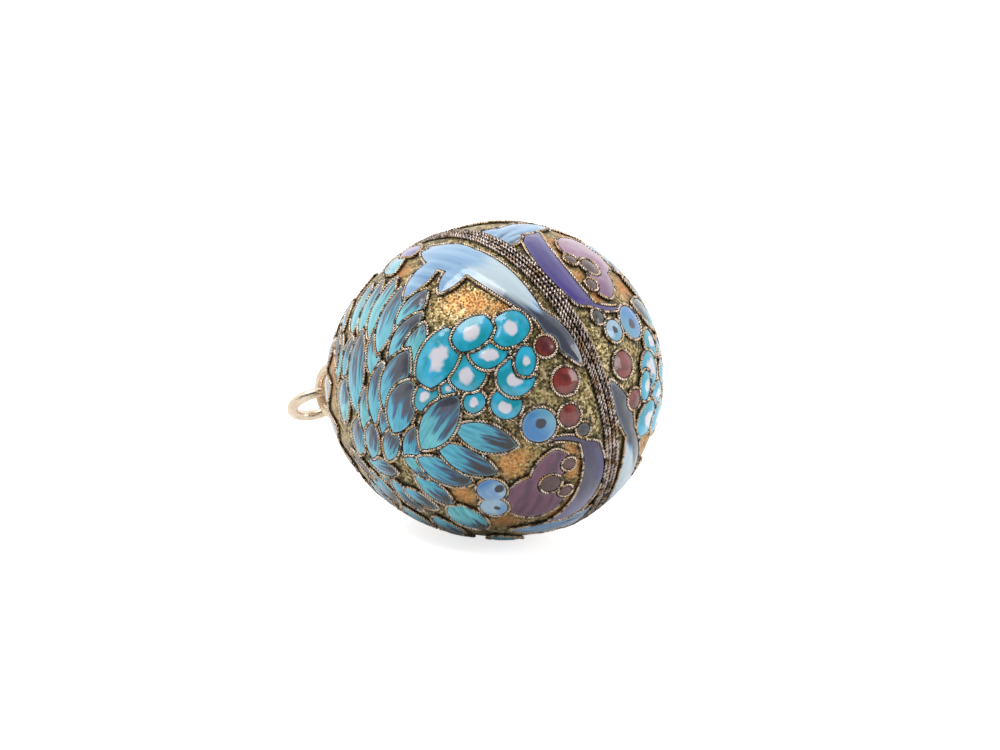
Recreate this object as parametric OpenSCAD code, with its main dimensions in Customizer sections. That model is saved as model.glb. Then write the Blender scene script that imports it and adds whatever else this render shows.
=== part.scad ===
// Egg pendant in silver gilt, lying on its side: two hollow half shells, each covered
// with soldered cloison wires that hold small pads of enamel, a band of wires along the
// seam, a fixed eye on the narrow end and two jump rings. The ornament is charted once
// and turned half way round the long axis for the second half.

/* [Egg] */
// Largest diameter of the egg, over the bare gilt ground
egg_d = 18; // [17.5:0.1:18.5]
// From the widest place to the narrow end
tip_len = 13.2; // [13:0.1:13.5]
// Radius of the small round of the narrow end
tip_r = 5.5; // [5.3:0.1:5.8]
// Thickness of the silver wall
wall = 0.6; // [0.5:0.1:0.8]

/* [Cloisons and enamel] */
// Width of a cloison wire
cloison_w = 0.18; // [0.16:0.01:0.2]
// Height of a cloison over the ground
cloison_h = 0.24; // [0.2:0.01:0.28]
// Height of the enamel over the ground
enamel_h = 0.18; // [0.14:0.01:0.19]
// Room round and under a pad of enamel
enamel_gap = 0.03; // [0.02:0.01:0.04]

/* [Seam band] */
// Diameter of one of the four band wires
rope_d = 0.24; // [0.22:0.01:0.26]
// Distance between two band wires on the same half
rope_step = 0.25; // [0.25:0.01:0.28]
// Height of a band wire's middle over the ground
rope_rise = 0.1; // [0.08:0.01:0.1]
// Gap between the two halves
seam_gap = 0.06; // [0.04:0.01:0.08]

/* [Eye and rings] */
// Diameter of the round plate under the eye
plate_d = 3.4; // [3:0.1:3.6]
// Thickness of that plate
plate_t = 0.35; // [0.3:0.05:0.4]
// Outer diameter of the fixed eye
eye_d = 3.6; // [3.5:0.1:3.7]
// Wire of the fixed eye
eye_wire = 0.7; // [0.65:0.05:0.75]
// Outer diameter of a jump ring
ring_d = 3.55; // [3.5:0.05:3.6]
// Wire of a jump ring
ring_wire = 0.65; // [0.6:0.05:0.65]
// Clear space where two of them hang in each other
ring_gap = 0.05; // [0.04:0.01:0.08]
// Swing of both rings to the side, round the middle of the eye
swing = 6; // [2:1:8]
// Height of the inner ring's middle over the line of the eye
inner_rise = 0.2; // [0.1:0.05:0.25]
// Lean of the outer ring, far side down
outer_lean = 27; // [20:1:30]
// Turn of the outer ring round its own long way
outer_turn = 9; // [5:1:12]

/* [Resting place] */
// Drop of the narrow end as the egg lies on its side, which puts its weight over the
// cell that it lies on
tilt = 13; // [12.5:0.5:13.5]
// Turn round the long axis, which puts the seam where it shows
roll = -107; // [-108:1:-106]

/* [Hidden] */
$fn = 96;
fine = 180;

egg_r = egg_d / 2;
// The meridian is a quarter circle, a flatter side arc and the tip's arc, all tangent.
tip_z = tip_len - tip_r;
side_r = (tip_z * tip_z + egg_r * egg_r - tip_r * tip_r) / (2 * (egg_r - tip_r));
side_angle = asin(tip_z / (side_r - tip_r));
deg = PI / 180;
waist_s = egg_r * 90 * deg;
side_s = waist_s + side_r * side_angle * deg;

// A place on the egg is s, the way along the meridian from the blunt end in mm, and v,
// the angle round the axis from the middle of the half.
function lean(s) = s < waist_s ? s / egg_r / deg - 90
    : s < side_s ? (s - waist_s) / side_r / deg
    : side_angle + (s - side_s) / tip_r / deg;
function radius_at(s) = s < waist_s ? egg_r * cos(lean(s))
    : s < side_s ? egg_r - side_r + side_r * cos(lean(s))
    : tip_r * cos(lean(s));
function height_at(s) = s < waist_s ? egg_r * sin(lean(s))
    : s < side_s ? side_r * sin(lean(s))
    : tip_z + tip_r * sin(lean(s));

// Each row is a leaf or drop: where its root and its tip are, and its width.
// Columns: root s, root v, tip s, tip v, width. A row whose root is its tip is round.
// A row lies over the rows after it, and its wire cuts them off. Scales, petals and mauve,
// violet and bare cells have blunt ends, the others pointed ones. Five blue rows make one
// leaf with its two lobes and its tail, and the last two another. The petal pair is one
// cell, the mauve rows are one comma and the first two violet rows one crescent.
TURQUOISE = [
    [8.8, 2, 6, -20, 1.7],
    [10.2, -3, 8, -27, 1.6],
    [11.9, -7, 9.6, -25, 1.7],
    [12.9, -6.5, 11.1, -17.5, 1.2],
    [12.8, -9, 10.8, 4.5, 1.3],
    [12.7, -13, 11.9, -31, 1.4],
    [14.6, -19, 13.3, -31, 1.3],
    [12, -30, 12.6, -50, 2.1],
    [12.9, 3, 10.8, 21.5, 2],
    [13.2, 12, 11.1, 33, 1.9],
    [11.4, 20, 10.4, 44, 1.5],
    [12.6, 29, 10.8, 48, 1.4],
    [12.3, 38, 11.2, 58, 1.5],
    [13.6, 32, 12.9, 60, 1.8],
    [14.5, -7, 12.5, 5, 1.2],
    [13.8, 0, 12.6, 14.5, 1.3],
    [14.4, 7, 13, 29, 1.6],
    [14.1, 24, 13.9, 44, 1.4],
    [14.7, 37, 14.4, 63, 1.7],
    [16.1, -6, 14.4, 8, 1.3],
    [15.7, 3, 14.5, 21, 1.3],
    [16.1, 11, 15.7, 42, 2],
    [15.9, 39, 15.9, 63, 1.6],
    [17.7, -5, 15.9, 10, 1.4],
    [18.3, 8, 17.2, 25, 1.6],
    [17.4, 23, 16.8, 40, 1.5],
    [17.1, 41, 17.5, 64, 1.7],
    [16.7, -7, 14.1, -12, 1.2],
    [15.2, -15, 15, -32, 1.5],
    [17.4, -11, 17, -29, 1.7],
    [14.3, -35, 15.7, -54, 1.7],
    [16.8, -30, 17.6, -49, 1.8],
    [13.1, -57, 15.3, -75, 1.8],
    [16.6, -50, 17.8, -66, 1.7],
    [15.1, 65, 17.7, 81, 1.7],
    [15.8, -10, 15.4, -17, 1.1],
    [18.6, -17, 18.8, -35, 1.4],
    [18.6, 24, 18.6, 42, 1.2],
    [19.1, 43, 20.3, 61, 1.2],
];
// This turquoise leaf lies over the scales with its tip.
LEAF_OVER_SCALES = [
    [11.3, -5.5, 8, 12.8, 2],
];
BLUE_LEAVES = [
    [3.7, 71, 13.9, 79.5, 1.9],
    [8.2, 74, 14.1, 76, 2.3],
    [10, 77, 10.3, 57, 1.3],
    [11.8, 75, 12.6, 53, 1.5],
    [0.9, 61, 5.4, 74, 1.2],
    [11.5, -56, 10.3, -90, 1.7],
    [10.8, -96, 10.2, -76, 2.6],
];
SCALES = [
    [8.3, 35, 6.7, 51, 1.8],
    [10.1, 19, 8.4, 42, 2.3],
    [6.2, 40.5, 5, 62, 2],
    [7, 27, 5.7, 47.5, 2.1],
    [4.3, 20.5, 4.3, 44, 1.2],
    [7.9, 15.5, 7, 34, 2.1],
    [5.6, 11, 4, 29.5, 2.1],
    [5.6, 4.5, 5.6, 4.5, 1.8],
    [10.6, 9.5, 9.5, 19.5, 1.4],
    [9.3, 9.5, 8.1, 19.5, 1.5],
    [7.9, 7, 6.7, 12, 1.2],
];
BERRIES = [
    [3.4, 49, 3.4, 49, 1.15],
    [2.05, 10, 2.05, 10, 1.55],
    [6.9, -52.8, 6.9, -52.8, 1.2],
    [7.2, -63.5, 7.2, -63.5, 0.75],
    [5.4, -56.4, 5.4, -56.4, 0.75],
];
// This cell holds a berry on the first half and a blue petal on the second.
BERRY_OR_PETAL = [
    [2.9, -33, 2.9, -33, 1.3],
];
PETALS = [
    [4.5, -19, 4.5, -19, 2],
];
PETAL_PAIR = [
    [9.2, -33, 9.2, -33, 1.7],
    [10.1, -40.5, 10.1, -40.5, 1.6],
];
DARK_DROPS = [
    [3.25, -56, 3.25, -56, 0.8],
    [18.9, -3, 17.4, -16, 0.9],
    [18.8, 30, 20, 47, 0.9],
    [18.9, -36, 20, -54, 0.9],
];
MAUVE = [
    [8.2, -51.5, 8.2, -51.5, 3.4],
    [7.6, -48, 4.8, -46.5, 1.8],
];
// The gilt crescent between the mauve round and the violet one: wire all round, no enamel
BARE = [
    [10.9, -60, 4.3, -50, 3.5],
];
// The egg lies on this cell, on four places along its wire that stand a good millimetre to
// each side of its middle. It is bare on the first half, so that nothing bulges down
// through it, and turquoise on the second.
rest_s = waist_s + side_r * tilt * deg;
rest_v = -180 - roll;
rest_reach = 2.2;
rest_width = 3;
RESTING = [
    [rest_s + rest_reach, rest_v, rest_s - rest_reach, rest_v, rest_width],
];
VIOLET = [
    [10.6, -68, 3.9, -62, 4.4],
    [4.6, -33, 4.2, -70, 1.3],
    [17.2, 82, 14.6, 76, 1.2],
];
// The leaves that stand in a ring round the plate follow a rule: root and tip, seen
// from the narrow end, and the count on one half.
END_COUNT = 9;
END_SPAN = 162;
END_LEAVES = [for (i = [0 : END_COUNT - 1])
    let (v = (i + 0.5) * END_SPAN / END_COUNT - END_SPAN / 2)
    [26.6, v, 20.4, v + 6, 1.9]];

// The middle of the outer band wire and the band's edge, from the seam's plane.
outer_wire = seam_gap / 2 + rope_d / 2 + rope_step;
band_edge = outer_wire + rope_d / 2;

// Where the whole pendant's box lies in the egg's own directions, and the lift that
// sets the lowest cloison on the ground.
rest_x = 5.567;
rest_y = 0;
rest_z = 9.2895;

root_s = 0;
root_v = 1;
tip_s = 2;
tip_v = 3;
width = 4;
blunt = 5;
joined = 6;
function mid_s(c) = (c[root_s] + c[tip_s]) / 2;
function mid_v(c) = (c[root_v] + c[tip_v]) / 2;
function run_s(c) = c[root_s] - c[tip_s];
function run_v(c) = (c[tip_v] - c[root_v]) * deg * radius_at(mid_s(c));
function length_of(c) = norm([run_s(c), run_v(c)]);
function reach(c) = max(length_of(c), c[width]) / 2;

// Five round stations stand for a cell where two of them are tested for touching, with
// some slack, because they fill its outline only roughly.
station_slack = 0.1;
STATIONS = [-0.8, -0.4, 0, 0.4, 0.8];
function point_at(s, v) = [radius_at(s) * cos(v), radius_at(s) * sin(v), height_at(s)];
function stations_of(c) = [for (t = STATIONS)
    let (long = length_of(c) > c[width])
    [point_at(mid_s(c) - t * run_s(c) / 2, mid_v(c) + t * (c[tip_v] - c[root_v]) / 2),
     c[width] / 2 * (long ? 1 - t * t : 1)]];
function touches(a, b) = norm(a[2][0] - b[2][0]) < egg_r
    && min([for (p = a) for (q = b) norm(p[0] - q[0]) - p[1] - q[1]]) < cloison_w + station_slack;

// All cells of one half, from the topmost to the lowest, each with the shape of its ends.
// Cells that share a number above 0 run into one, with no wire between them.
function ended(rows, shape, number) = [for (c = rows) concat(c, shape, number)];
CELLS = concat(
    ended(BERRIES, 0, 0),
    ended(BERRY_OR_PETAL, 0, 0),
    ended(PETALS, 1, 0),
    ended(PETAL_PAIR, 1, 4),
    ended(DARK_DROPS, 0, 0),
    ended(LEAF_OVER_SCALES, 0, 0),
    ended(SCALES, 1, 0),
    ended(BLUE_LEAVES, 0, 1),
    ended(MAUVE, 1, 2),
    ended(BARE, 1, 0),
    ended(RESTING, 0, 0),
    ended(VIOLET, 1, 3),
    ended(TURQUOISE, 0, 0),
    ended(END_LEAVES, 0, 0)
);
CELL_STATIONS = [for (c = CELLS) stations_of(c)];
function first_of(group) =
    group == "berries" ? 0
    : group == "berry_or_petal" ? len(BERRIES)
    : group == "petals" ? first_of("berry_or_petal") + len(BERRY_OR_PETAL)
    : group == "drops" ? first_of("petals") + len(PETALS) + len(PETAL_PAIR)
    : group == "leaf_over" ? first_of("drops") + len(DARK_DROPS)
    : group == "scales" ? first_of("leaf_over") + len(LEAF_OVER_SCALES)
    : group == "blue" ? first_of("scales") + len(SCALES)
    : group == "mauve" ? first_of("blue") + len(BLUE_LEAVES)
    : group == "bare" ? first_of("mauve") + len(MAUVE)
    : group == "resting" ? first_of("bare") + len(BARE)
    : group == "violet" ? first_of("resting") + len(RESTING)
    : group == "turquoise" ? first_of("violet") + len(VIOLET)
    : group == "end" ? first_of("turquoise") + len(TURQUOISE)
    : len(CELLS);

// Everything is drawn with the egg upright, narrow end up, and then laid down.
module laid() {
    translate([rest_x, rest_y, rest_z])
        rotate([0, -90 - tilt, 0])
            rotate([0, 0, roll])
                children();
}

// The outline of half the egg, grown by a distance, on the x side of its axis.
module profile(grow) {
    big = 4 * egg_r;
    seam_z = (side_r + grow) * sin(side_angle);
    intersection() {
        circle(r = egg_r + grow);
        translate([0, -big]) square(big);
    }
    intersection() {
        translate([egg_r - side_r, 0]) circle(r = side_r + grow);
        square([big, seam_z]);
    }
    intersection() {
        translate([0, tip_z]) circle(r = tip_r + grow);
        translate([0, seam_z]) square(big);
    }
}

// A skin round the egg between two heights over the ground.
module skin(low, high) {
    rotate_extrude()
        difference() {
            profile(high);
            profile(low);
        }
}

// The part of such a skin that lies on the x side of the plane x = edge.
module half_skin(low, high, edge) {
    room = 2 * tip_len;
    intersection() {
        skin(low, high);
        translate([edge, -room, -room]) cube(2 * room);
    }
}

// Stands children on the egg at s and v, z outwards and x towards the blunt end.
module on_egg(s, v, turn) {
    rotate([0, 0, v])
        translate([radius_at(s), 0, height_at(s)])
            rotate([0, 90 - lean(s), 0])
                rotate([0, 0, turn])
                    children();
}

// An oval, end to end along x, or a round where both ends meet. Its two sides are arcs.
// They meet in points, or, where the ends are blunt, further out, and an arc rounds each
// end off.
blunt_stretch = 1.25;
module oval(length, width, blunt, grow) {
    if (length <= width) {
        circle(d = max(length, width) + 2 * grow);
    } else {
        point_to_point = length * (blunt == 1 ? blunt_stretch : 1);
        bow = (point_to_point * point_to_point + width * width) / (4 * width);
        intersection() {
            translate([0, width / 2 - bow]) circle(r = bow + grow, $fn = fine);
            translate([0, bow - width / 2]) circle(r = bow + grow, $fn = fine);
            if (blunt == 1) circle(d = length + 2 * grow);
        }
    }
}

// The straight-sided block that cuts one cell out of a skin. It reaches below and above
// the ground at the cell's middle.
block_depth = 0.5;
block_rise = 0.6;
module cell_block(c, grow) {
    span = reach(c);
    below = block_depth + span * span / (2 * tip_len);
    on_egg(mid_s(c), mid_v(c), atan2(run_v(c), run_s(c)))
        translate([0, 0, -below])
            linear_extrude(below + block_rise)
                oval(length_of(c), c[width], c[blunt], grow);
}

function one_cell(a, b) = a[joined] > 0 && a[joined] == b[joined];

// A cell with what lies over it cut away, wire and all.
module cell(i, shrink) {
    c = CELLS[i];
    over = [for (j = [0 : 1 : i - 1])
        if (touches(CELL_STATIONS[i], CELL_STATIONS[j]) && !one_cell(c, CELLS[j])) j];
    difference() {
        cell_block(c, -shrink);
        for (j = over) cell_block(CELLS[j], cloison_w + shrink);
    }
}

// The enamel of one group of cells on the first half.
module half_enamel(group, next) {
    intersection() {
        half_skin(enamel_gap, enamel_h, band_edge + enamel_gap);
        union() for (i = [first_of(group) : first_of(next) - 1]) cell(i, enamel_gap);
    }
}

module second_half() {
    rotate([0, 0, 180]) children();
}

// The enamel of one group of cells, on both halves.
module enamel(group, next) {
    half_enamel(group, next);
    second_half() half_enamel(group, next);
}

// One band wire on the plane x = off, from just past the plate on one side to the other.
module band_wire(off) {
    clear_angle = asin((plate_d / 2 + rope_d) / tip_r);
    translate([off, 0, 0])
        rotate([90, 0, 90]) {
            wire_arc(egg_r, 180, 360);
            for (side = [0, 1])
                mirror([side, 0, 0]) {
                    translate([egg_r - side_r, 0, 0]) wire_arc(side_r, 0, side_angle);
                    translate([0, tip_z, 0]) wire_arc(tip_r, side_angle, 90 - clear_angle);
                }
        }
}

module wire_arc(r, from, to) {
    rotate([0, 0, from])
        rotate_extrude(angle = to - from)
            translate([r + rope_rise, 0])
                circle(d = rope_d, $fn = 24);
}

// Depth of a cloison's foot in the wall
cloison_foot = wall / 4;

// One half of the metal: the hollow wall, its cloisons and its two band wires.
module half_shell() {
    union() {
        half_skin(-wall, 0, seam_gap / 2);
        intersection() {
            half_skin(-cloison_foot, cloison_h, outer_wire);
            difference() {
                union() for (c = CELLS) cell_block(c, cloison_w);
                union() for (i = [0 : len(CELLS) - 1]) cell(i, 0);
            }
        }
        band_wire(outer_wire - rope_step);
        band_wire(outer_wire);
    }
}

module half_shell_a() {
    color("darkkhaki") laid() half_shell();
}

module half_shell_b() {
    color("darkkhaki") laid() second_half() half_shell();
}

module berries() {
    color("brown") laid() {
        half_enamel("berries", "petals");
        second_half() half_enamel("berries", "berry_or_petal");
    }
}

module blue_petals() {
    color("skyblue") laid() {
        half_enamel("petals", "drops");
        second_half() half_enamel("berry_or_petal", "drops");
    }
}

module dark_drops() {
    color("darkslategray") laid() enamel("drops", "leaf_over");
}

module scale_cells() {
    color("turquoise") laid() enamel("scales", "blue");
}

module blue_leaves() {
    color("lightblue") laid() enamel("blue", "mauve");
}

module mauve_rounds() {
    color("rosybrown") laid() enamel("mauve", "bare");
}

module violet_crescents() {
    color("darkslateblue") laid() enamel("violet", "turquoise");
}

module turquoise_leaves() {
    color("darkturquoise") laid() {
        enamel("leaf_over", "scales");
        enamel("turquoise", "end");
        second_half() half_enamel("resting", "violet");
    }
}

module end_leaves() {
    color("cadetblue") laid() enamel("end", "none");
}

// The rings stand in a frame of their own: z runs out along the egg's axis, and x is
// the way that points up once the egg is laid down, so this turn undoes the roll.
module ring_frame() {
    laid() rotate([0, 0, -roll]) children();
}

// A ring that lies flat, its own axis along x.
module flat_ring(outer_d, wire) {
    rotate([0, 90, 0])
        rotate_extrude()
            translate([(outer_d - wire) / 2, 0])
                circle(d = wire, $fn = 32);
}

plate_low = cloison_h + enamel_gap;
eye_sunk = 0.4 * eye_wire;
eye_mid = tip_len + plate_low + plate_t + eye_d / 2 - eye_sunk;
ring_r = (ring_d - ring_wire) / 2;
// Where the wires pass through each other, from the middle of the eye.
inner_near = (eye_d - eye_wire) / 2 - (eye_wire + ring_wire) / 2 - ring_gap;
outer_near = inner_near + 2 * ring_r - ring_wire - ring_gap;

module eye() {
    color("tan") ring_frame()
        union() {
            intersection() {
                skin(plate_low, plate_low + plate_t);
                cylinder(d = plate_d, h = 2 * tip_len);
            }
            translate([0, 0, eye_mid]) flat_ring(eye_d, eye_wire);
        }
}

module jump_ring_inner() {
    color("tan") ring_frame()
        translate([0, 0, eye_mid])
            rotate([swing, 0, 0])
                translate([inner_rise, 0, inner_near + ring_r])
                    rotate([0, 0, 90])
                        flat_ring(ring_d, ring_wire);
}

module jump_ring_outer() {
    color("tan") ring_frame()
        translate([0, 0, eye_mid])
            rotate([swing, 0, 0])
                translate([inner_rise, 0, outer_near])
                    rotate([0, -outer_lean, 0])
                        translate([0, 0, ring_r])
                            rotate([0, 0, outer_turn])
                                flat_ring(ring_d, ring_wire);
}

half_shell_a();
half_shell_b();
turquoise_leaves();
blue_leaves();
scale_cells();
berries();
blue_petals();
violet_crescents();
mauve_rounds();
dark_drops();
end_leaves();
eye();
jump_ring_inner();
jump_ring_outer();
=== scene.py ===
# %% [markdown]
# # A cloisonné egg pendant
# The real pendant is two hollow half shells of silver gilt. Thin twisted wires, called
# cloisons, are soldered on edge round each small cell, and shaded enamel is melted into the
# cells. A band of four twisted wires runs along the seam, and a fixed eye with two jump rings
# hangs the egg on a chain.
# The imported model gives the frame: every piece made here takes its place from it.

# %% Load the frame
import math

import bmesh
import bpy
from mathutils import Matrix, Vector, kdtree, noise


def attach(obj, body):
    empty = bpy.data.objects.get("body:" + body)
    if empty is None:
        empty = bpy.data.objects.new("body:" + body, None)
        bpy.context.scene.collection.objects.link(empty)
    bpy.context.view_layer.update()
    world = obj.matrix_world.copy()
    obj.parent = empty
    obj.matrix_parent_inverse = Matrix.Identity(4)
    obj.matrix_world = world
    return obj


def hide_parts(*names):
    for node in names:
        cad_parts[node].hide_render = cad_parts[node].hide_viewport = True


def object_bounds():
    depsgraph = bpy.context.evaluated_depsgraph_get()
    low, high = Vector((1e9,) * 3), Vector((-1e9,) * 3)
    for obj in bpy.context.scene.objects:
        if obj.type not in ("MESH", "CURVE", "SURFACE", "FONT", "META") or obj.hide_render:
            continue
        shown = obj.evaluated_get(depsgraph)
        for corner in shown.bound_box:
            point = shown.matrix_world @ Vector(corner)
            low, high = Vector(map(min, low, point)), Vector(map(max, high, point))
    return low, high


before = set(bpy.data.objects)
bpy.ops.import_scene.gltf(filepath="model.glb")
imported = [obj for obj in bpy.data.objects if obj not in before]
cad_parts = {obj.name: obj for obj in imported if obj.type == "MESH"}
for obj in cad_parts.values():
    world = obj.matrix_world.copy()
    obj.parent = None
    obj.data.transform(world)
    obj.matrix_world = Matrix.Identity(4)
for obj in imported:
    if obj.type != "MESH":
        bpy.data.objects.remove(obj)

MM = 0.001
cad_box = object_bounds()
print("CAD nodes:", sorted(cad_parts))

# %% [markdown]
# ## The shape of the egg
# The meridian of the egg is three arcs that meet smoothly: a quarter circle at the blunt end,
# a long flat arc at the side and a small arc at the narrow end. A place on the egg is named as
# on a globe: s is the way along the meridian from the blunt pole, and v is the angle round the
# axis, from the middle of the first half. Two functions turn one kind of place into the other.
# The matrix lays the upright egg down on its side, as the frame has it.

# %% Egg sizes
EGG_R = 9.0 * MM
TIP_LEN = 13.2 * MM
TIP_R = 5.5 * MM
WALL = 0.6 * MM
TILT = math.radians(13)
ROLL = math.radians(-107)
REST = Vector((5.567, 0.0, 9.2895)) * MM

TIP_Z = TIP_LEN - TIP_R
SIDE_R = (TIP_Z ** 2 + EGG_R ** 2 - TIP_R ** 2) / (2 * (EGG_R - TIP_R))
SIDE_ANGLE = math.asin(TIP_Z / (SIDE_R - TIP_R))
WAIST_S = EGG_R * math.pi / 2
SIDE_S = WAIST_S + SIDE_R * SIDE_ANGLE
END_S = SIDE_S + TIP_R * (math.pi / 2 - SIDE_ANGLE)

LAY_DOWN = Matrix.Translation(REST)
LAY_DOWN = LAY_DOWN @ Matrix.Rotation(-math.pi / 2 - TILT, 4, "Y")
LAY_DOWN = LAY_DOWN @ Matrix.Rotation(ROLL, 4, "Z")
STAND_UP = LAY_DOWN.inverted()
print("meridian from pole to pole: %.2f mm" % (END_S / MM))


# %% Places on the egg
LIFT_ROUNDS = 4


def arc_at(s):
    """The arc of the meridian at s: its centre, its radius and the lean of the normal."""
    if s < WAIST_S:
        return (0.0, 0.0), EGG_R, s / EGG_R - math.pi / 2
    if s < SIDE_S:
        return (EGG_R - SIDE_R, 0.0), SIDE_R, (s - WAIST_S) / SIDE_R
    return (0.0, TIP_Z), TIP_R, SIDE_ANGLE + (s - SIDE_S) / TIP_R


def on_egg(s, v, height=0.0):
    """The point at s and v, at a height over the gilt ground, with the egg upright."""
    centre, r, lean = arc_at(s)
    out = centre[0] + (r + height) * math.cos(lean)
    return Vector((out * math.cos(v), out * math.sin(v), centre[1] + (r + height) * math.sin(lean)))


def normal_at(s, v):
    """The way straight out of the egg at s and v."""
    lean = arc_at(s)[2]
    return Vector((math.cos(lean) * math.cos(v), math.cos(lean) * math.sin(v), math.sin(lean)))


def chart_of(p):
    """The s, v and height of a point, with the egg upright."""
    out = math.hypot(p.x, p.y)
    lean = math.atan2(p.z, out - (EGG_R - SIDE_R))
    if p.z <= 0:
        s = (math.atan2(p.z, out) + math.pi / 2) * EGG_R
    elif lean < SIDE_ANGLE:
        s = WAIST_S + lean * SIDE_R
    else:
        s = SIDE_S + (math.atan2(p.z - TIP_Z, out) - SIDE_ANGLE) * TIP_R
    centre, r, lean = arc_at(s)
    return s, math.atan2(p.y, p.x), math.hypot(out - centre[0], p.z - centre[1]) - r


def lifted(p, way, height):
    """The point moved along a way until it is at that height over the ground."""
    for _ in range(LIFT_ROUNDS):
        p = p + way * (height - chart_of(p)[2])
    return p


def folded(v):
    """The angle counted from the middle of the half that it lies on, and which half."""
    return (v, 0) if abs(v) <= math.pi / 2 else (v - math.copysign(math.pi, v), 1)


print("waist point:", [round(x / MM, 2) for x in on_egg(WAIST_S, 0.0)])

# %% [markdown]
# ## From the frame's pads to glossy pads
# The frame holds each pad of enamel as a flat-topped solid with the exact outline of its cell.
# The outline is what matters, so each top face is copied, cut by a fine grid of planes and
# raised to a low dome, as enamel is drawn up by its wires when it melts. Then the patch is
# extruded down to its bed, which makes a closed pad. Working from the frame keeps each pad
# where the shell has room for it.
# Each pad also gets attributes that its colour needs later: how far along the leaf a point is,
# how far it is from the wire, and where it is on the egg.

# %% Sizes of the pads
ENAMEL_H = 0.18 * MM
PAD_BED = 0.03 * MM
PAD_EDGE = 0.14 * MM
PAD_DOME = 0.07 * MM
DOME_RUN = 0.45 * MM
PAD_GRID = 0.3 * MM
SAME = 0.0005 * MM
NEAR_TOP = 0.004 * MM
FAN_MIDDLE = math.radians(-3)
SHARP_EDGE = math.radians(40)
# The least cosine between a pad's top face and the way out of the egg
OUTWARD = 0.7


# %% Top patches of a node
def faces_out(face):
    """Whether a face looks out of the egg, and not to the side."""
    s, v, _ = chart_of(face.calc_center_median())
    return abs(face.normal.dot(normal_at(s, v))) > OUTWARD


def top_patches(node):
    """A bmesh for each pad of the node, which holds only the pad's top."""
    bm = bmesh.new()
    bm.from_mesh(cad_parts[node].data)
    bmesh.ops.transform(bm, matrix=STAND_UP, verts=bm.verts)
    bmesh.ops.remove_doubles(bm, verts=bm.verts, dist=SAME)
    top = {v for v in bm.verts if abs(chart_of(v.co)[2] - ENAMEL_H) < NEAR_TOP}
    rest = [f for f in bm.faces if not (all(v in top for v in f.verts) and faces_out(f))]
    bmesh.ops.delete(bm, geom=rest, context="FACES")
    seen = set()
    patches = []
    for first in bm.faces:
        queue = [] if first in seen else [first]
        group = []
        seen.add(first)
        while queue:
            face = queue.pop()
            group.append(face)
            for other in [f for e in face.edges for f in e.link_faces if f not in seen]:
                seen.add(other)
                queue.append(other)
        if group:
            patches.append(copy_of(group))
    bm.free()
    return patches


def copy_of(faces):
    """A new bmesh with copies of these faces."""
    bm = bmesh.new()
    twin = {}
    for face in faces:
        for v in face.verts:
            if v not in twin:
                twin[v] = bm.verts.new(v.co)
        bm.faces.new([twin[v] for v in face.verts])
    return bm


def rims(bm):
    """The closed loops that bound a patch, as lists of points in order."""
    rim_edges = [e for e in bm.edges if len(e.link_faces) == 1]
    left = set(rim_edges)
    loops = []
    for edge in rim_edges:
        if edge not in left:
            continue
        left.remove(edge)
        first, v = edge.verts
        points = [first.co.copy()]
        while v is not first:
            points.append(v.co.copy())
            edge = next(e for e in v.link_edges if e in left)
            left.remove(edge)
            v = edge.other_vert(v)
        loops.append(points)
    return loops


sample = top_patches("mauve_rounds")
print("mauve rounds:", len(sample), "pads, rims of each:", [len(rims(p)) for p in sample])


# %% Even steps along a line
FEWEST_STEPS = 4
TINY = 1e-12


def evenly(points, step, closed=True):
    """Points at even steps along a line through the given points."""
    line = points + points[:1] if closed else points
    lengths = [(b - a).length for a, b in zip(line, line[1:])]
    count = max(FEWEST_STEPS, round(sum(lengths) / step))
    spots = []
    i, before = 0, 0.0
    for k in range(count if closed else count + 1):
        want = sum(lengths) * k / count
        while i < len(lengths) - 1 and before + lengths[i] < want:
            before += lengths[i]
            i += 1
        spots.append(line[i].lerp(line[i + 1], (want - before) / max(lengths[i], TINY)))
    return spots


# %% [markdown]
# A pad needs axes of its own. The long axis comes from the spread of the rim's points, and its
# tip is the end that the leaves on this egg point to: they fan out from a line near the middle
# of each half. Round the eye they point away from the eye instead.

# %% The pad's own axes
def reach_along(way, points, base):
    """How far the points lie on both sides of a base point, along a way."""
    spans = [(p - base).dot(way) for p in points]
    return min(spans), max(spans)


def pad_axes(points, tip_rule):
    """A frame for a pad: x from root to tip, y across, z out of the egg, and its sizes."""
    middle = sum(points, Vector()) / len(points)
    s, v, _ = chart_of(middle)
    out = normal_at(s, v)
    base = on_egg(s, v)
    round_way = Vector((-math.sin(v), math.cos(v), 0.0))
    to_tip_end = round_way.cross(out)
    flat = [((p - base).dot(to_tip_end), (p - base).dot(round_way)) for p in points]
    xx = sum(a * a for a, b in flat)
    yy = sum(b * b for a, b in flat)
    xy = sum(a * b for a, b in flat)
    turn = 0.5 * math.atan2(2 * xy, xx - yy)
    along = to_tip_end * math.cos(turn) + round_way * math.sin(turn)
    low, high = reach_along(along, points, base)
    if tip_rule(base + along * high) < tip_rule(base + along * low):
        along = -along
    across = out.cross(along)
    axes = Matrix((along, across, out)).transposed().to_4x4()
    axes.translation = base
    return axes, reach_along(along, points, base), reach_along(across, points, base)


# A tip rule gives a larger value at a pad's tip than at its root
def away_from_fan(p):
    return abs(folded(chart_of(p)[1])[0] - FAN_MIDDLE)


def towards_eye(p):
    return chart_of(p)[0]


def away_from_eye(p):
    return -chart_of(p)[0]


# %% [markdown]
# The dome follows the distance from the wire: it rises fast beside the wire and is level in
# the middle. The grid of cuts gives it points to bend at.

# %% Make the pads of one node
def smooth_step(x):
    x = min(max(x, 0.0), 1.0)
    return x * x * (3 - 2 * x)


def tree_of(points):
    """A tree that finds the nearest of these points."""
    tree = kdtree.KDTree(len(points))
    for i, p in enumerate(points):
        tree.insert(p, i)
    tree.balance()
    return tree


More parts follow.
